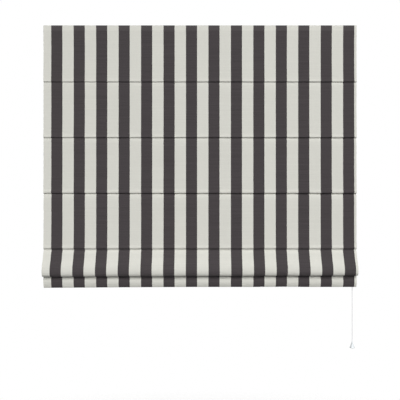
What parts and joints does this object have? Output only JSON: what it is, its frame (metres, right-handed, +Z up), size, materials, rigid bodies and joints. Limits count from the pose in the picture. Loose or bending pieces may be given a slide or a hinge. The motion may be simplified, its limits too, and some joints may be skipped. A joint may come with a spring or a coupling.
{
  "type": "roman blind",
  "caption": "Wide roman blind of striped cloth on thin rods, drawn up by lift cords through rings, with a head rail, cord lock and one pull cord.",
  "frame": {"origin": "middle of the four wall screw holes, on the wall plane", "axes": "+X to the right along the head rail, -Y into the room, +Z up"},
  "size_m": [1.534, 0.082, 1.5892],
  "materials": {
    "cloth_light": "matte",
    "cloth_dark": "matte",
    "rail_paint": "satin",
    "bar_metal": "satin",
    "zinc_steel": "satin",
    "rod_fibre": "satin",
    "white_plastic": "satin",
    "clear_plastic": "gloss",
    "nylon": "matte",
    "cord_white": "matte",
    "tape_white": "matte",
    "weight_plastic": "satin"
  },
  "bodies": {
    "headrail": {"head_rail": "rail_paint", "end_cap_left": "white_plastic", "end_cap_right": "white_plastic", "wall_bracket_left": "zinc_steel", "wall_bracket_right": "zinc_steel", "clamp_screws": "zinc_steel", "clamp_nuts": "zinc_steel", "hook_tape": "tape_white", "loop_tape": "tape_white", "cord_lock_case": "white_plastic", "roller_pin": "zinc_steel", "pawl_pin": "zinc_steel", "pulley_axles": "zinc_steel", "pulley_cradle_1": "white_plastic", "pulley_cradle_2": "white_plastic", "pulley_cradle_3": "white_plastic", "pulley_cradle_4": "white_plastic", "rail_cords": "cord_white", "lock_cords": "cord_white", "lift_cords_1": "cord_white", "panel_1": "cloth_light", "dark_stripes_1": "cloth_dark"},
    "pulley_wheel_1": {"pulley_1": "nylon"},
    "pulley_wheel_2": {"pulley_2": "nylon"},
    "pulley_wheel_3": {"pulley_3": "nylon"},
    "pulley_wheel_4": {"pulley_4": "nylon"},
    "guide_roller": {"lock_roller": "nylon"},
    "pawl": {"lock_pawl": "zinc_steel"},
    "pull": {"cord_connector": "white_plastic", "pull_cord": "cord_white", "cord_weight": "weight_plastic"},
    "fold_rod_1": {"rod_1": "rod_fibre", "rod_rings_1": "clear_plastic", "panel_2": "cloth_light", "dark_stripes_2": "cloth_dark", "lift_cords_2": "cord_white"},
    "fold_rod_2": {"rod_2": "rod_fibre", "rod_rings_2": "clear_plastic", "panel_3": "cloth_light", "dark_stripes_3": "cloth_dark", "lift_cords_3": "cord_white"},
    "fold_rod_3": {"rod_3": "rod_fibre", "rod_rings_3": "clear_plastic", "panel_4": "cloth_light", "dark_stripes_4": "cloth_dark", "lift_cords_4": "cord_white"},
    "fold_rod_4": {"rod_4": "rod_fibre", "rod_rings_4": "clear_plastic", "panel_5": "cloth_light", "dark_stripes_5": "cloth_dark", "lift_cords_5": "cord_white"},
    "bottom": {"rod_5": "rod_fibre", "rod_rings_5": "clear_plastic", "bottom_section": "cloth_light", "dark_stripes_6": "cloth_dark", "bottom_bar": "bar_metal", "bar_cap_left": "white_plastic", "bar_cap_right": "white_plastic", "cord_stops": "white_plastic"}
  },
  "joints": [
    {"name": "raise", "type": "slide", "parent": "headrail", "child": "fold_rod_1", "axis": [0, 0.0229, 0.9997], "range_m": [0, 0.21005], "deforming": ["lift_cords_1", "panel_5", "dark_stripes_5"]},
    {"name": "fold_2_closes", "type": "slide", "parent": "fold_rod_1", "child": "fold_rod_2", "axis": [0, 0.0192, 0.9998], "range_m": [0, 0.25005], "deforming": ["lift_cords_2"]},
    {"name": "fold_3_closes", "type": "slide", "parent": "fold_rod_2", "child": "fold_rod_3", "axis": [0, 0.0192, 0.9998], "range_m": [0, 0.25005], "deforming": ["lift_cords_3"]},
    {"name": "fold_4_closes", "type": "slide", "parent": "fold_rod_3", "child": "fold_rod_4", "axis": [0, 0.0192, 0.9998], "range_m": [0, 0.25005], "deforming": ["lift_cords_4"]},
    {"name": "lower_last_fold", "type": "slide", "parent": "fold_rod_4", "child": "bottom", "axis": [0, 0.0192, 0.9998], "range_m": [-0.25005, 0], "deforming": ["lift_cords_5"]},
    {"name": "pull_cord_runs", "type": "slide", "parent": "headrail", "child": "pull", "axis": [0, 0, -1], "range_m": [0, 0.96], "deforming": ["lock_cords"]},
    {"name": "pulley_1_spin", "type": "hinge", "parent": "headrail", "child": "pulley_wheel_1", "pos_m": [-0.59315, -0.0325, 0.033], "axis": [0, 1, 0], "continuous": true},
    {"name": "pulley_2_spin", "type": "hinge", "parent": "headrail", "child": "pulley_wheel_2", "pos_m": [-0.19315, -0.0325, 0.033], "axis": [0, 1, 0], "continuous": true},
    {"name": "pulley_3_spin", "type": "hinge", "parent": "headrail", "child": "pulley_wheel_3", "pos_m": [0.20685, -0.0325, 0.033], "axis": [0, 1, 0], "continuous": true},
    {"name": "pulley_4_spin", "type": "hinge", "parent": "headrail", "child": "pulley_wheel_4", "pos_m": [0.60685, -0.0325, 0.033], "axis": [0, 1, 0], "continuous": true},
    {"name": "guide_roller_spin", "type": "hinge", "parent": "headrail", "child": "guide_roller", "pos_m": [0.74875, -0.0135, 0.034], "axis": [0, 1, 0], "continuous": true},
    {"name": "lock_pawl_lifts", "type": "hinge", "parent": "headrail", "child": "pawl", "pos_m": [0.73175, -0.0135, 0.04445], "axis": [0, -1, 0], "range_deg": [0, 22]}
  ],
  "couplings": [
    {"joint": "fold_2_closes", "follows": "raise", "ratio": 1.1904},
    {"joint": "fold_3_closes", "follows": "raise", "ratio": 1.1904},
    {"joint": "fold_4_closes", "follows": "raise", "ratio": 1.1904},
    {"joint": "pull_cord_runs", "follows": "raise", "ratio": 4.5702},
    {"joint": "pulley_1_spin", "follows": "raise", "rad_per_m": 667.19},
    {"joint": "pulley_2_spin", "follows": "raise", "rad_per_m": 667.19},
    {"joint": "pulley_3_spin", "follows": "raise", "rad_per_m": 667.19},
    {"joint": "pulley_4_spin", "follows": "raise", "rad_per_m": 667.19},
    {"joint": "guide_roller_spin", "follows": "raise", "rad_per_m": 781.24}
  ]
}
